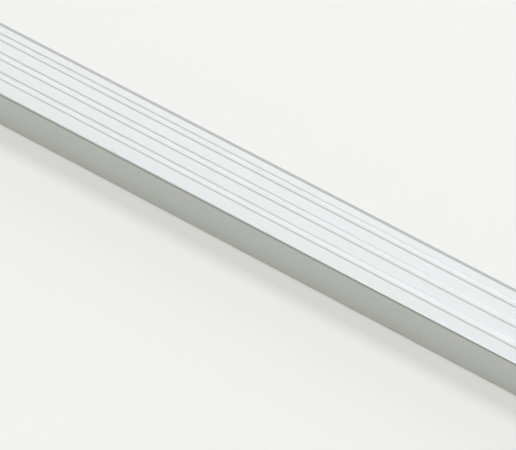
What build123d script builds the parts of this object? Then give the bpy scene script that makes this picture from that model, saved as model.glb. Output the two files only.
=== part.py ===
"""A surface-mounted stair nosing: one length of satin anodised aluminium angle.

The wide leaf, the tread, lies on the step. The short leaf, the face, hangs over the riser.
Three shallow rounded flutes run along the tread for grip, the nose where the leaves meet is
rounded, and the tread's back edge is bevelled down so that no foot catches on it.

The section is drawn with the nose's sharp corner at (0, 0), x to the back and y up, and is then
extruded along X. Unheld, the angle settles on the foot of its face and on the tread's back edge,
so it is turned about X until both touch the floor.
"""
import math
import os

from build123d import *

# Overall sizes, in millimetres
length = 900.0
tread_width = 41.0
face_height = 22.0
tread_thickness = 2.5
face_thickness = 2.0

# Rounded nose outside, and the fillet in the corner that sits on the step's edge
nose_radius = 1.6
inner_radius = 0.5

# Bevel at the back of the tread: how far it runs, and the upright edge that it leaves
bevel_run = 3.2
back_edge_height = 0.75

# Flutes in the tread's top, evenly spaced between a front land and a back land
flute_count = 3
flute_width = 4.8
flute_depth = 0.5
front_land = 7.9
back_land = 3.8

# Outside radius along the foot of the face
foot_radius = 0.8

# Small radii that the die leaves on every other outer corner and along the flutes
edge_radius = 0.3
flute_edge_radius = 0.15


def corner(shape, x, y):
    """The section's vertex nearest to a point."""
    return shape.vertices().sort_by_distance((x, y, 0))[0]


def angle_outline():
    """The two leaves with sharp corners."""
    return make_face(
        Polyline(
            (0, 0),
            (0, -face_height),
            (face_thickness, -face_height),
            (face_thickness, -tread_thickness),
            (tread_width, -tread_thickness),
            (tread_width, back_edge_height - tread_thickness),
            (tread_width - bevel_run, 0),
            close=True,
        )
    )


def flute_centres():
    """How far behind the front face each flute's centre lies."""
    first = front_land + flute_width / 2
    last = tread_width - bevel_run - back_land - flute_width / 2
    pitch = (last - first) / (flute_count - 1)
    return [first + pitch * i for i in range(flute_count)]


def section():
    """The whole extruded section, with its radii."""
    shape = angle_outline()
    shape = fillet(corner(shape, 0, 0), nose_radius)
    shape = fillet(corner(shape, 0, -face_height), foot_radius)
    shape = fillet(corner(shape, face_thickness, -tread_thickness), inner_radius)
    for x, y in (
        (face_thickness, -face_height),
        (tread_width, -tread_thickness),
        (tread_width, back_edge_height - tread_thickness),
        (tread_width - bevel_run, 0),
    ):
        shape = fillet(corner(shape, x, y), edge_radius)

    flute_radius = (flute_width**2 / 4 + flute_depth**2) / (2 * flute_depth)
    for centre in flute_centres():
        shape -= Pos(centre, flute_radius - flute_depth) * Circle(flute_radius)
        for side in (-1, 1):
            lip = corner(shape, centre + side * flute_width / 2, 0)
            shape = fillet(lip, flute_edge_radius)
    return shape


def rest_angle():
    """The tilt, in degrees, at which the foot's inner corner and the tread's back corner are level.

    Both corners have the same radius, so the line between them is parallel to the floor.
    """
    rise = face_height - tread_thickness
    run = tread_width - face_thickness
    return math.degrees(math.atan2(rise, run))


def nosing():
    """The extruded length at rest, centred over the origin with its lowest line on the floor."""
    bar = extrude(Plane.YZ * section(), length / 2, both=True)
    bar = Rot(-rest_angle(), 0, 0) * bar
    box = bar.bounding_box()
    return Pos(-box.center().X, -box.center().Y, -box.min.Z) * bar


os.makedirs("parts", exist_ok=True)
export_step(nosing(), "parts/nosing_profile.step")
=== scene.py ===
"""A satin anodised aluminium stair nosing on a pale floor, in soft studio light.

The nosing is one extruded angle. Its section is drawn by a rule from a few sizes, swept along
the length and closed with sawn ends. Lengths are in metres and colours are sRGB hex values.
"""
import math

import bpy
from bpy.props import FloatProperty, IntProperty, PointerProperty, StringProperty
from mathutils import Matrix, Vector


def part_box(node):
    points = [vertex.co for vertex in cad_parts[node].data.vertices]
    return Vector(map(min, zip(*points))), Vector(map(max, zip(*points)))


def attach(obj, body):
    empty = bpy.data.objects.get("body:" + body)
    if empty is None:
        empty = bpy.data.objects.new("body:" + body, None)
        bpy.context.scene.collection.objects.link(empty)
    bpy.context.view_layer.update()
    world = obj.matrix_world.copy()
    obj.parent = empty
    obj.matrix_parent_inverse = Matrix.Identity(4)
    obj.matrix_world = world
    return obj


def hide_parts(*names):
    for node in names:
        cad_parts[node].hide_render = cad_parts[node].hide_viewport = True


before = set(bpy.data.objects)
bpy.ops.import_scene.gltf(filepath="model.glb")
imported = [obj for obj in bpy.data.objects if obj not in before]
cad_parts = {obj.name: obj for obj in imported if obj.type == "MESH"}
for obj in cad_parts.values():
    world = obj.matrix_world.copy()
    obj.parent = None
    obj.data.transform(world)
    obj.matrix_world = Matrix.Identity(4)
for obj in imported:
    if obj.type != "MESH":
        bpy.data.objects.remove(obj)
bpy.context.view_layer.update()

bl_info = {
    "name": "Stair nosing",
    "version": (1, 0, 0),
    "blender": (4, 5, 0),
    "location": "View3D > Sidebar > Nosing",
    "description": "Builds an extruded stair nosing, its finish and a plain studio round it",
    "category": "Object",
}

NODE = "nosing_profile"
BODY = "root"

MM = 0.001
NODE_LOW, NODE_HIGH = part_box(NODE)

# How far a corner of the built piece's box may lie from the solid's
BOX_TOLERANCE = 0.05 * MM

# Points on each rounded corner of the section, and on each flute
CORNER_POINTS = 14
FLUTE_STEPS = 32

# Edges that turn by more than this stay sharp
SHARP_ANGLE = math.radians(30)

# The etched skin's roughness, from the glossiest die line to the dullest
GLOSSY_LINE = 0.3
DULL_LINE = 0.38
SAWN_ROUGHNESS = 0.3
PAPER_ROUGHNESS = 0.95

# Nearly all of the noise lies between these two values
NOISE_LOW = 0.3
NOISE_HIGH = 0.7

# Camera: its direction seen from the bar, its distance, the point that it looks at and its lens
CAMERA_AZIMUTH = math.radians(28.02)
CAMERA_ELEVATION = math.radians(79.66)
CAMERA_DISTANCE = 500 * MM
CAMERA_TARGET = Vector((0, -9.42 * MM, 10 * MM))
CAMERA_LENS = 72.87
CAMERA_SENSOR = 36

CAMERA_CLIP_START = 10 * MM

# The lamps stand on a circle of this radius round the bar, and most of them are this wide
LAMP_REACH = 12.0
LAMP_WIDTH = 16.4

# Half the floor's side: it ends well before the lamps, so that they don't burn it to white
FLOOR_HALF = 2.5

# The pale band round the horizon fades between these two elevations
HORIZON_LOW = math.sin(math.radians(7))
HORIZON_HIGH = math.sin(math.radians(13))

MATHS = "ShaderNodeMath"
VECTOR_MATHS = "ShaderNodeVectorMath"


def size(label, description, default):
    """A length in metres that a user may change."""
    return FloatProperty(
        name=label, description=description, default=default, min=0, precision=5, unit="LENGTH"
    )


def colour(label, description, default):
    """A colour, kept as an sRGB hex value."""
    return StringProperty(name=label, description=description, default=default)


def level(label, description, default):
    """A radiance, where 1 shows as white."""
    return FloatProperty(name=label, description=description, default=default, min=0)


class NosingSizes(bpy.types.PropertyGroup):
    """The extruded section and its length."""

    length: size("Length", "Length of the bar", NODE_HIGH.x - NODE_LOW.x)
    tread_width: size("Tread Width", "From the front face to the tread's back edge", 41 * MM)
    face_height: size("Face Height", "From the tread's top to the foot of the face", 22 * MM)
    tread_thickness: size("Tread Thickness", "Wall of the leaf that lies on the step", 2.5 * MM)
    face_thickness: size("Face Thickness", "Wall of the leaf that covers the riser", 2 * MM)
    nose_radius: size("Nose Radius", "Outside radius where the leaves meet", 1.6 * MM)
    inner_radius: size("Inner Radius", "Fillet in the corner under the nose", 0.5 * MM)
    bevel_run: size("Bevel Run", "How far the back bevel reaches over the tread", 3.2 * MM)
    back_edge_height: size("Back Edge Height", "Upright edge below the bevel", 0.75 * MM)
    flute_count: IntProperty(
        name="Flute Count", description="Flutes in the tread", default=3, min=2
    )
    flute_width: size("Flute Width", "Width of one flute at the tread's top", 4.8 * MM)
    flute_depth: size("Flute Depth", "Depth in the middle of a flute", 0.5 * MM)
    front_land: size("Front Land", "Flat from the front face to the first flute", 7.9 * MM)
    back_land: size("Back Land", "Flat from the last flute to the bevel", 3.8 * MM)
    foot_radius: size("Foot Radius", "Outside radius at the foot of the face", 0.8 * MM)
    edge_radius: size("Edge Radius", "Small radius on every other corner", 0.3 * MM)
    flute_edge_radius: size("Flute Edge Radius", "Small radius along the flutes", 0.15 * MM)
    end_break: size("End Break", "Edge that a file takes off the sawn ends", 0.12 * MM)


class NosingFinish(bpy.types.PropertyGroup):
    """Colours and patterns of the metal.

    Real die lines and saw marks are too fine to show in the render, so both are drawn a few
    times as coarse, which is as coarse as they need to be.
    """

    anodised: colour("Anodised", "Natural silver anodised aluminium", "#C0C3BF")
    sawn: colour("Sawn", "Bare aluminium of the cut ends", "#DADCDC")
    die_line_spacing: size("Die Line Spacing", "Between the faint lines along the bar", 0.35 * MM)
    die_line_length: size("Die Line Length", "Over which a die line comes and goes", 180 * MM)
    die_line_depth: size("Die Line Depth", "Depth of the faint lines", 0.003 * MM)
    saw_pitch: size("Saw Pitch", "Between the marks of the saw", 0.5 * MM)
    saw_radius: size("Saw Radius", "Radius of the blade that cut the ends", 125 * MM)
    saw_depth: size("Saw Depth", "Depth of the saw marks", 0.01 * MM)


class StudioLook(bpy.types.PropertyGroup):
    """Floor, room and lamps."""

    floor: colour("Floor", "Matt white paper", "#F3F3EF")
    cool: colour("Cool", "Tint of the lamps behind and overhead", "#F2F3FF")
    warm: colour("Warm", "Tint of the room and of the panel in front", "#FFFEF4")
    room: level("Room", "The room round the floor", 0.48)
    horizon: level("Horizon", "The room low down, about as bright as the floor", 0.84)
    low_panel: level("Low Panel", "Just above the floor behind", 0.78)
    back_panel: level("Back Panel", "Above it, which the tread reflects", 1.62)
    key_left: level("Key Left", "Left half of the strong lamp that throws the shadow", 3.25)
    key_right: level("Key Right", "Its right half", 3.6)
    top_left: level("Top Left", "The panel overhead on the left", 1.53)
    top_right: level("Top Right", "The wider panel overhead on the right", 1.75)
    front_panel: level("Front Panel", "The low panel in front", 0.48)


def linear(hex_colour):
    """An sRGB hex value as a linear RGBA colour."""
    channels = [int(hex_colour[i : i + 2], 16) / 255 for i in (1, 3, 5)]
    return [c / 12.92 if c <= 0.04045 else ((c + 0.055) / 1.055) ** 2.4 for c in channels] + [1.0]


def add_node(tree, kind, settings=None, links=None):
    """Adds a node with its settings and links.

    A link gives an input, by name or number, a value, another node's socket, or a node, which
    then stands for its first output.
    """
    node = tree.nodes.new(kind)
    for name, value in (settings or {}).items():
        setattr(node, name, value)
    for name, value in (links or {}).items():
        if isinstance(value, bpy.types.Node):
            value = value.outputs[0]
        if isinstance(value, bpy.types.NodeSocket):
            tree.links.new(value, node.inputs[name])
        else:
            node.inputs[name].default_value = value
    return node


def size_inputs(tree, sizes):
    """One named input of the tree for each size, and the sockets that give them inside it."""
    tree.interface.new_socket("Geometry", in_out="OUTPUT", socket_type="NodeSocketGeometry")
    names = list(NosingSizes.__annotations__)
    for name in names:
        prop = sizes.bl_rna.properties[name]
        kind = "NodeSocketInt" if prop.type == "INT" else "NodeSocketFloat"
        socket = tree.interface.new_socket(prop.name, in_out="INPUT", socket_type=kind)
        socket.description = prop.description
        socket.default_value = prop.default
        if prop.type == "FLOAT":
            socket.subtype = "DISTANCE"
    group = add_node(tree, "NodeGroupInput")
    return {name: group.outputs[i] for i, name in enumerate(names)}


def angle_corners(tree, given):
    """The angle's corners from the nose round the foot and the back edge: across, up and radius."""
    foot = add_node(tree, MATHS, {"operation": "SUBTRACT"}, {0: 0.0, 1: given["face_height"]})
    under = add_node(tree, MATHS, {"operation": "SUBTRACT"}, {0: 0.0, 1: given["tread_thickness"]})
    back_edge = add_node(
        tree, MATHS, {"operation": "SUBTRACT"},
        {0: given["back_edge_height"], 1: given["tread_thickness"]},
    )
    bevel_top = add_node(
        tree, MATHS, {"operation": "SUBTRACT"}, {0: given["tread_width"], 1: given["bevel_run"]}
    )
    small = given["edge_radius"]
    return [
        (0.0, 0.0, given["nose_radius"]),
        (0.0, foot, given["foot_radius"]),
        (given["face_thickness"], foot, small),
        (given["face_thickness"], under, given["inner_radius"]),
        (given["tread_width"], under, small),
        (given["tread_width"], back_edge, small),
        (bevel_top, 0.0, small),
    ]


def flute_centre(tree, given, flute):
    """How far behind the front face a flute's centre lies, counted from the back flute."""
    half = add_node(tree, MATHS, {"operation": "MULTIPLY"}, {0: given["flute_width"], 1: 0.5})
    first = add_node(tree, MATHS, {"operation": "ADD"}, {0: given["front_land"], 1: half})
    top = add_node(
        tree, MATHS, {"operation": "SUBTRACT"}, {0: given["tread_width"], 1: given["bevel_run"]}
    )
    land = add_node(tree, MATHS, {"operation": "SUBTRACT"}, {0: top, 1: given["back_land"]})
    last = add_node(tree, MATHS, {"operation": "SUBTRACT"}, {0: land, 1: half})
    span = add_node(tree, MATHS, {"operation": "SUBTRACT"}, {0: first, 1: last})
    gaps = add_node(tree, MATHS, {"operation": "SUBTRACT"}, {0: given["flute_count"], 1: 1.0})
    pitch = add_node(tree, MATHS, {"operation": "DIVIDE"}, {0: span, 1: gaps})
    return add_node(tree, MATHS, {"operation": "MULTIPLY_ADD"}, {0: flute, 1: pitch, 2: last})


def flute_points(tree, given, step):
    """The flutes' points from the back lip of the back flute on: across, up and radius.

    Each flute is an arc through its two lips and its deepest point, and each lip has a radius.
    """
    per_flute = FLUTE_STEPS + 1
    share = add_node(tree, MATHS, {"operation": "DIVIDE"}, {0: step, 1: per_flute})
    flute = add_node(tree, MATHS, {"operation": "FLOOR"}, {0: share})
    place = add_node(tree, MATHS, {"operation": "MODULO"}, {0: step, 1: per_flute})
    # from 1 at a flute's back lip to -1 at its front lip
    turn = add_node(
        tree, MATHS, {"operation": "MULTIPLY_ADD"}, {0: place, 1: -2 / FLUTE_STEPS, 2: 1.0}
    )
    half = add_node(tree, MATHS, {"operation": "MULTIPLY"}, {0: given["flute_width"], 1: 0.5})
    depth = given["flute_depth"]
    squared = add_node(tree, MATHS, {"operation": "MULTIPLY"}, {0: depth, 1: depth})
    chord = add_node(tree, MATHS, {"operation": "MULTIPLY_ADD"}, {0: half, 1: half, 2: squared})
    doubled = add_node(tree, MATHS, {"operation": "MULTIPLY"}, {0: depth, 1: 2.0})
    radius = add_node(tree, MATHS, {"operation": "DIVIDE"}, {0: chord, 1: doubled})
    reach = add_node(tree, MATHS, {"operation": "DIVIDE"}, {0: half, 1: radius})
    widest = add_node(tree, MATHS, {"operation": "ARCSINE"}, {0: reach})
    angle = add_node(tree, MATHS, {"operation": "MULTIPLY"}, {0: turn, 1: widest})
    sine = add_node(tree, MATHS, {"operation": "SINE"}, {0: angle})
    cosine = add_node(tree, MATHS, {"operation": "COSINE"}, {0: angle})
    centre = flute_centre(tree, given, flute)
    across = add_node(tree, MATHS, {"operation": "MULTIPLY_ADD"}, {0: sine, 1: radius, 2: centre})
    drop = add_node(tree, MATHS, {"operation": "MULTIPLY"}, {0: cosine, 1: radius})
    above = add_node(tree, MATHS, {"operation": "SUBTRACT"}, {0: radius, 1: depth})
    up = add_node(tree, MATHS, {"operation": "SUBTRACT"}, {0: above, 1: drop})
    off_centre = add_node(tree, MATHS, {"operation": "ABSOLUTE"}, {0: turn})
    is_lip = add_node(
        tree, MATHS, {"operation": "GREATER_THAN"}, {0: off_centre, 1: 1 - 1 / FLUTE_STEPS}
    )
    lip_radius = add_node(
        tree, MATHS, {"operation": "MULTIPLY"}, {0: is_lip, 1: given["flute_edge_radius"]}
    )
    return across, up, lip_radius


def section_curve(tree, given):
    """The closed section with its radii, across on Y and up on Z, the nose's corner at zero."""
    index = add_node(tree, "GeometryNodeInputIndex")
    corners = angle_corners(tree, given)
    places = add_node(tree, "GeometryNodeIndexSwitch", {"data_type": "VECTOR"}, {"Index": index})
    radii = add_node(tree, "GeometryNodeIndexSwitch", {"data_type": "FLOAT"}, {"Index": index})
    for number, (across, up, radius) in enumerate(corners):
        for switch in (places, radii):
            if number >= len(switch.index_switch_items):
                switch.index_switch_items.new()
        point = add_node(tree, "ShaderNodeCombineXYZ", None, {"Y": across, "Z": up})
        tree.links.new(point.outputs[0], places.inputs[str(number)])
        tree.links.new(radius, radii.inputs[str(number)])

    step = add_node(tree, MATHS, {"operation": "SUBTRACT"}, {0: index, 1: float(len(corners))})
    across, up, lip_radius = flute_points(tree, given, step)
    flute_place = add_node(tree, "ShaderNodeCombineXYZ", None, {"Y": across, "Z": up})
    on_flute = add_node(tree, MATHS, {"operation": "GREATER_THAN"}, {0: step, 1: -0.5})
    place = add_node(
        tree, "GeometryNodeSwitch", {"input_type": "VECTOR"},
        {"Switch": on_flute, "False": places, "True": flute_place},
    )
    radius = add_node(
        tree, "GeometryNodeSwitch", {"input_type": "FLOAT"},
        {"Switch": on_flute, "False": radii, "True": lip_radius},
    )
    count = add_node(
        tree, MATHS, {"operation": "MULTIPLY_ADD"},
        {0: given["flute_count"], 1: float(FLUTE_STEPS + 1), 2: float(len(corners))},
    )
    points = add_node(tree, "GeometryNodePoints", None, {"Count": count, "Position": place})
    line = add_node(tree, "GeometryNodePointsToCurves", None, {"Points": points, "Weight": index})
    closed = add_node(
        tree, "GeometryNodeSetSplineCyclic", None, {"Geometry": line, "Cyclic": True}
    )
    rounded = add_node(tree, MATHS, {"operation": "GREATER_THAN"}, {0: radius, 1: 0.0})
    extra = add_node(
        tree, MATHS, {"operation": "MULTIPLY"}, {0: rounded, 1: float(CORNER_POINTS)}
    )
    return add_node(
        tree, "GeometryNodeFilletCurve", {"mode": "POLY"},
        {"Curve": closed, "Count": extra, "Radius": radius},
    )


def rested(tree, given, section):
    """Turns the section until its foot and its back edge are level, and sets it on the floor."""
    rise = add_node(
        tree, MATHS, {"operation": "SUBTRACT"},
        {0: given["face_height"], 1: given["tread_thickness"]},
    )
    run = add_node(
        tree, MATHS, {"operation": "SUBTRACT"},
        {0: given["tread_width"], 1: given["face_thickness"]},
    )
    tilt = add_node(tree, MATHS, {"operation": "ARCTAN2"}, {0: rise, 1: run})
    back = add_node(tree, MATHS, {"operation": "SUBTRACT"}, {0: 0.0, 1: tilt})
    turn = add_node(tree, "ShaderNodeCombineXYZ", None, {"X": back})
    turned = add_node(
        tree, "GeometryNodeTransform", None, {"Geometry": section, "Rotation": turn}
    )
    box = add_node(
        tree, "GeometryNodeBoundBox", None, {"Geometry": turned, "Use Radius": False}
    )
    both = add_node(
        tree, VECTOR_MATHS, {"operation": "ADD"}, {0: box.outputs["Min"], 1: box.outputs["Max"]}
    )
    middle = add_node(tree, VECTOR_MATHS, {"operation": "MULTIPLY"}, {0: both, 1: (0, -0.5, 0)})
    floor = add_node(
        tree, VECTOR_MATHS, {"operation": "MULTIPLY"}, {0: box.outputs["Min"], 1: (0, 0, -1)}
    )
    shift = add_node(tree, VECTOR_MATHS, {"operation": "ADD"}, {0: middle, 1: floor})
    return add_node(tree, "GeometryNodeSetPosition", None, {"Geometry": turned, "Offset": shift})


def capture(tree, geometry, kind, name, value):
    """Keeps a value of each point under a name. Returns the geometry and the kept value."""
    node = add_node(tree, "GeometryNodeCaptureAttribute", {"domain": "POINT"})
    node.capture_items.new(kind, name)
    tree.links.new(geometry.outputs[0], node.inputs["Geometry"])
    tree.links.new(value, node.inputs[name])
    return node, node.outputs[name]


def sweep(tree, given, section):
    """The section swept along X through four rings: each end's edge is broken by a small bevel."""
    position = add_node(tree, "GeometryNodeInputPosition").outputs[0]
    section, section_point = capture(tree, section, "VECTOR", "Section Point", position)
    tangent = add_node(tree, "GeometryNodeInputTangent")
    outward = add_node(
        tree, VECTOR_MATHS, {"operation": "CROSS_PRODUCT"}, {0: tangent, 1: (1, 0, 0)}
    )
    section, outward = capture(tree, section, "VECTOR", "Outward", outward.outputs[0])

    line = add_node(
        tree, "GeometryNodeCurvePrimitiveLine", None, {"Start": (-1, 0, 0), "End": (1, 0, 0)}
    )
    rings = add_node(tree, "GeometryNodeSubdivideCurve", None, {"Curve": line, "Cuts": 2})
    ring = add_node(tree, "GeometryNodeSplineParameter").outputs["Factor"]
    rings, ring = capture(tree, rings, "FLOAT", "Ring", ring)
    swept = add_node(
        tree, "GeometryNodeCurveToMesh", None,
        {"Curve": rings, "Profile Curve": section, "Fill Caps": True},
    )

    # the rings' factors are 0, 1/3, 2/3 and 1, so the outer two lie over 0.25 from the middle
    centred = add_node(tree, MATHS, {"operation": "SUBTRACT"}, {0: ring, 1: 0.5})
    side = add_node(tree, MATHS, {"operation": "SIGN"}, {0: centred})
    away = add_node(tree, MATHS, {"operation": "ABSOLUTE"}, {0: centred})
    is_end = add_node(tree, MATHS, {"operation": "GREATER_THAN"}, {0: away, 1: 0.25})
    inset = add_node(tree, MATHS, {"operation": "MULTIPLY"}, {0: is_end, 1: given["end_break"]})
    half = add_node(tree, MATHS, {"operation": "MULTIPLY"}, {0: given["length"], 1: 0.5})
    held_back = add_node(tree, MATHS, {"operation": "SUBTRACT"}, {0: given["end_break"], 1: inset})
    reach = add_node(tree, MATHS, {"operation": "SUBTRACT"}, {0: half, 1: held_back})
    along = add_node(tree, MATHS, {"operation": "MULTIPLY"}, {0: side, 1: reach})
    inward = add_node(tree, MATHS, {"operation": "SUBTRACT"}, {0: 0.0, 1: inset})
    shrink = add_node(tree, VECTOR_MATHS, {"operation": "SCALE"}, {0: outward, "Scale": inward})
    across = add_node(tree, VECTOR_MATHS, {"operation": "ADD"}, {0: section_point, 1: shrink})
    lengthwise = add_node(tree, "ShaderNodeCombineXYZ", None, {"X": along})
    place = add_node(tree, VECTOR_MATHS, {"operation": "ADD"}, {0: across, 1: lengthwise})
    return add_node(tree, "GeometryNodeSetPosition", None, {"Geometry": swept, "Position": place})


def shaded(tree, solid):
    """Smooth faces that meet sharply where the surface turns more than the sharp angle."""
    angle = add_node(tree, "GeometryNodeInputMeshEdgeAngle")
    gentle = add_node(
        tree, MATHS, {"operation": "LESS_THAN"},
        {0: angle.outputs["Unsigned Angle"], 1: SHARP_ANGLE},
    )
    faces = add_node(
        tree, "GeometryNodeSetShadeSmooth", {"domain": "FACE"},
        {"Geometry": solid, "Shade Smooth": True},
    )
    return add_node(
        tree, "GeometryNodeSetShadeSmooth", {"domain": "EDGE"},
        {"Geometry": faces, "Shade Smooth": gentle},
    )


def nosing_tree(sizes, anodised, sawn):
    """Geometry nodes that draw the section, sweep it and give its faces their materials."""
    tree = bpy.data.node_groups.new("Fluted Angle", "GeometryNodeTree")
    given = size_inputs(tree, sizes)
    section = rested(tree, given, section_curve(tree, given))
    solid = shaded(tree, sweep(tree, given, section))

    normal = add_node(tree, "GeometryNodeInputNormal").outputs["True Normal"]
    along = add_node(tree, "ShaderNodeSeparateXYZ", None, {0: normal})
    facing = add_node(tree, MATHS, {"operation": "ABSOLUTE"}, {0: along.outputs["X"]})
    is_cut = add_node(tree, MATHS, {"operation": "GREATER_THAN"}, {0: facing, 1: 0.5})
    realized = add_node(tree, "GeometryNodeRealizeInstances", None, {"Geometry": solid})
    skin = add_node(
        tree, "GeometryNodeSetMaterial", None, {"Geometry": realized, "Material": anodised}
    )
    ends = add_node(
        tree, "GeometryNodeSetMaterial", None,
        {"Geometry": skin, "Selection": is_cut, "Material": sawn},
    )
    add_node(tree, "NodeGroupOutput", None, {"Geometry": ends})
    return tree


def metal(name, hex_colour):
    """A metal material. Returns it with its tree, its shader and the object's own position."""
    material = bpy.data.materials.new(name)
    material.use_nodes = True
    tree = material.node_tree
    shader = tree.nodes["Principled BSDF"]
    shader.inputs["Base Color"].default_value = linear(hex_colour)
    shader.inputs["Metallic"].default_value = 1.0
    place = add_node(tree, "ShaderNodeTexCoord").outputs["Object"]
    return material, tree, shader, place


def anodised_aluminium(finish):
    """Extruded, satin etched and clear anodised.

    The etch scatters reflections into a soft sheen, and the die leaves faint lines along the
    bar that show as thin changes of gloss and relief.
    """
    material, tree, shader, place = metal("satin_anodised_aluminium", finish.anodised)
    across = 1 / finish.die_line_spacing
    stretched = add_node(
        tree, "ShaderNodeMapping", None,
        {"Vector": place, "Scale": (1 / finish.die_line_length, across, across)},
    )
    lines = add_node(
        tree, "ShaderNodeTexNoise", None,
        {"Vector": stretched, "Scale": 1.0, "Detail": 3.0, "Roughness": 0.6},
    )
    gloss = add_node(
        tree, "ShaderNodeMapRange", None,
        {
            "Value": lines, "From Min": NOISE_LOW, "From Max": NOISE_HIGH,
            "To Min": GLOSSY_LINE, "To Max": DULL_LINE,
        },
    )
    relief = add_node(
        tree, "ShaderNodeBump", None, {"Height": lines, "Distance": finish.die_line_depth}
    )
    tree.links.new(gloss.outputs[0], shader.inputs["Roughness"])
    tree.links.new(relief.outputs[0], shader.inputs["Normal"])
    return material


def sawn_aluminium(finish):
    """Bare metal as a circular saw leaves it: brighter than the anodised skin, with shallow arcs
    of the blade's radius across the end."""
    material, tree, shader, place = metal("sawn_aluminium", finish.sawn)
    shader.inputs["Roughness"].default_value = SAWN_ROUGHNESS
    apart = add_node(tree, "ShaderNodeSeparateXYZ", None, {0: place})
    flat = add_node(
        tree, "ShaderNodeCombineXYZ", None, {"Y": apart.outputs["Y"], "Z": apart.outputs["Z"]}
    )
    distance = add_node(
        tree, VECTOR_MATHS, {"operation": "DISTANCE"},
        {0: flat, 1: (0, finish.saw_radius, 0)},
    )
    phase = add_node(
        tree, MATHS, {"operation": "MULTIPLY"},
        {0: distance.outputs["Value"], 1: math.tau / finish.saw_pitch},
    )
    marks = add_node(tree, MATHS, {"operation": "SINE"}, {0: phase})
    relief = add_node(
        tree, "ShaderNodeBump", None, {"Height": marks, "Distance": finish.saw_depth}
    )
    tree.links.new(relief.outputs[0], shader.inputs["Normal"])
    return material


def matt(name, hex_colour):
    """A plain matt paper or card: no gloss, so that only light and shadow show on it."""
    material = bpy.data.materials.new(name)
    material.use_nodes = True
    shader = material.node_tree.nodes["Principled BSDF"]
    shader.inputs["Base Color"].default_value = linear(hex_colour)
    shader.inputs["Roughness"].default_value = PAPER_ROUGHNESS
    shader.inputs["Specular IOR Level"].default_value = 0.0
    return material


def lamp(name, tint, radiance, along, rise, span, wide=LAMP_WIDTH):
    """A soft rectangular lamp that faces the bar's axis and stays out of the picture.

    Its middle lies "along" on X, at an angle of "rise" up from the floor behind. It is "wide"
    along X and covers the angle "span". Both angles are in degrees.
    """
    angle = math.radians(rise)
    place = Vector((0, LAMP_REACH * math.cos(angle), LAMP_REACH * math.sin(angle)))
    light = bpy.data.lights.new(name, "AREA")
    light.shape = "RECTANGLE"
    light.size = wide
    light.size_y = 2 * LAMP_REACH * math.tan(math.radians(span / 2))
    light.color = linear(tint)[:3]
    light.energy = radiance * math.pi * light.size * light.size_y
    holder = bpy.data.objects.new(name, light)
    holder.location = place + Vector((along, 0, 0))
    holder.rotation_euler = (-place).to_track_quat("-Z", "Y").to_euler()
    holder.visible_camera = False
    bpy.context.scene.collection.objects.link(holder)


class NOSING_OT_angle(bpy.types.Operator):
    """Sweep the section along the bar and give it its finish"""

    bl_idname = "nosing.angle"
    bl_label = "Fluted Angle"

    def execute(self, context):
        sizes = context.scene.nosing_sizes
        finish = context.scene.nosing_finish
        tree = nosing_tree(sizes, anodised_aluminium(finish), sawn_aluminium(finish))
        piece = bpy.data.objects.new("fluted_angle", bpy.data.meshes.new("fluted_angle"))
        context.scene.collection.objects.link(piece)
        rule = piece.modifiers.new("Section", "NODES")
        rule.node_group = tree
        names = {prop.name: key for key, prop in sizes.bl_rna.properties.items()}
        for socket in tree.interface.items_tree:
            if socket.in_out == "INPUT":
                rule[socket.identifier] = getattr(sizes, names[socket.name])
        # broad flats keep their own normal, and only the radii between them turn it
        piece.modifiers.new("Flats", "WEIGHTED_NORMAL").keep_sharp = True

        depsgraph = context.evaluated_depsgraph_get()
        mesh = bpy.data.meshes.new_from_object(piece.evaluated_get(depsgraph), depsgraph=depsgraph)
        piece.modifiers.clear()
        piece.data = mesh
        mesh.name = piece.name
        self.check_box(mesh)
        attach(piece, BODY)
        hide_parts(NODE)
        return {"FINISHED"}

    @staticmethod
    def check_box(mesh):
        """Stops if the swept bar isn't as large as the solid, or isn't in its place."""
        for axis in range(3):
            along = [v.co[axis] for v in mesh.vertices]
            off = max(abs(min(along) - NODE_LOW[axis]), abs(max(along) - NODE_HIGH[axis]))
            if off > BOX_TOLERANCE:
                raise RuntimeError(f"the angle is {off / MM:.3f} mm off the solid on axis {axis}")


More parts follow.
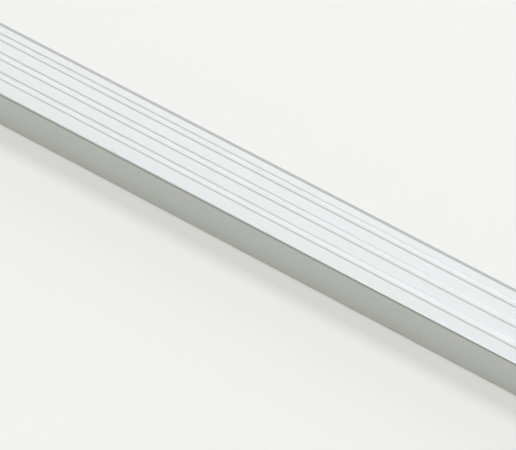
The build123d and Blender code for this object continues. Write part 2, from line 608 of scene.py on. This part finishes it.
class NOSING_OT_studio(bpy.types.Operator):
    """Set up the floor, the lamps and the camera"""

    bl_idname = "nosing.studio"
    bl_label = "Studio"

    def execute(self, context):
        look = context.scene.nosing_studio
        self.floor(look)
        self.lights(look)
        self.room(look)
        self.camera(context.scene)
        context.scene.view_settings.view_transform = "Standard"
        return {"FINISHED"}

    @staticmethod
    def floor(look):
        """A wide square sheet of paper."""
        corners = [
            (across * FLOOR_HALF, back * FLOOR_HALF, 0)
            for across, back in ((-1, -1), (1, -1), (1, 1), (-1, 1))
        ]
        mesh = bpy.data.meshes.new("floor")
        mesh.from_pydata(corners, [], [range(len(corners))])
        mesh.materials.append(matt("white_paper", look.floor))
        paper = bpy.data.objects.new("floor", mesh)
        bpy.context.scene.collection.objects.link(paper)

    @staticmethod
    def lights(look):
        """Panels behind, overhead and in front, with dimmer gaps that the nose reflects."""
        half = LAMP_WIDTH / 2
        lamp("low_panel", look.cool, look.low_panel, along=-2.2, rise=6, span=8)
        lamp("back_panel", look.cool, look.back_panel, along=-2.2, rise=20, span=20)
        lamp("key_left", look.cool, look.key_left, along=-half, rise=45, span=10)
        lamp("key_right", look.cool, look.key_right, along=half, rise=45, span=10)
        lamp("top_left", look.cool, look.top_left, along=-half, rise=80, span=20)
        lamp("top_right", look.cool, look.top_right, along=half, rise=75, span=30)
        lamp(
            "front_panel", look.warm, look.front_panel,
            along=0, rise=165, span=10, wide=2 * LAMP_WIDTH,
        )

    @staticmethod
    def room(look):
        """A dim room with a pale band round the horizon."""
        world = bpy.data.worlds.new("room")
        world.use_nodes = True
        tree = world.node_tree
        towards = add_node(tree, "ShaderNodeTexCoord").outputs["Generated"]
        apart = add_node(tree, "ShaderNodeSeparateXYZ", None, {0: towards})
        strength = add_node(
            tree, "ShaderNodeMapRange", {"interpolation_type": "SMOOTHSTEP"},
            {
                "Value": apart.outputs["Z"], "From Min": HORIZON_LOW, "From Max": HORIZON_HIGH,
                "To Min": look.horizon, "To Max": look.room,
            },
        )
        background = tree.nodes["Background"]
        background.inputs["Color"].default_value = linear(look.warm)
        tree.links.new(strength.outputs[0], background.inputs["Strength"])
        bpy.context.scene.world = world

    @staticmethod
    def camera(scene):
        """Level, looking steeply down on the middle of the bar."""
        lens = bpy.data.cameras.new("camera")
        lens.lens = CAMERA_LENS
        lens.sensor_width = CAMERA_SENSOR
        holder = bpy.data.objects.new("camera", lens)
        level = math.cos(CAMERA_ELEVATION)
        back = Vector((
            level * math.sin(CAMERA_AZIMUTH), -level * math.cos(CAMERA_AZIMUTH),
            math.sin(CAMERA_ELEVATION),
        ))
        holder.location = CAMERA_TARGET + back * CAMERA_DISTANCE
        holder.rotation_euler = (-back).to_track_quat("-Z", "Y").to_euler()
        lens.clip_start = CAMERA_CLIP_START
        scene.collection.objects.link(holder)
        scene.camera = holder


class NOSING_PT_panel(bpy.types.Panel):
    """Sizes, finish and studio of the stair nosing"""

    bl_idname = "NOSING_PT_panel"
    bl_label = "Stair Nosing"
    bl_space_type = "VIEW_3D"
    bl_region_type = "UI"
    bl_category = "Nosing"

    def draw(self, context):
        scene = context.scene
        for label, group, operator in (
            ("Sizes", scene.nosing_sizes, None),
            ("Finish", scene.nosing_finish, NOSING_OT_angle),
            ("Studio", scene.nosing_studio, NOSING_OT_studio),
        ):
            box = self.layout.box()
            box.label(text=label)
            for name in type(group).__annotations__:
                box.prop(group, name)
            if operator:
                box.operator(operator.bl_idname)


CLASSES = (
    NosingSizes, NosingFinish, StudioLook, NOSING_OT_angle, NOSING_OT_studio, NOSING_PT_panel
)


def register():
    """Adds the classes, and the settings that a scene keeps."""
    for cls in CLASSES:
        bpy.utils.register_class(cls)
    bpy.types.Scene.nosing_sizes = PointerProperty(type=NosingSizes)
    bpy.types.Scene.nosing_finish = PointerProperty(type=NosingFinish)
    bpy.types.Scene.nosing_studio = PointerProperty(type=StudioLook)


def unregister():
    """Takes them away again."""
    del bpy.types.Scene.nosing_studio
    del bpy.types.Scene.nosing_finish
    del bpy.types.Scene.nosing_sizes
    for cls in reversed(CLASSES):
        bpy.utils.unregister_class(cls)


def main():
    """Builds the nosing and its stage."""
    register()
    bpy.ops.nosing.angle()
    bpy.ops.nosing.studio()


if __name__ == "__main__":
    main()
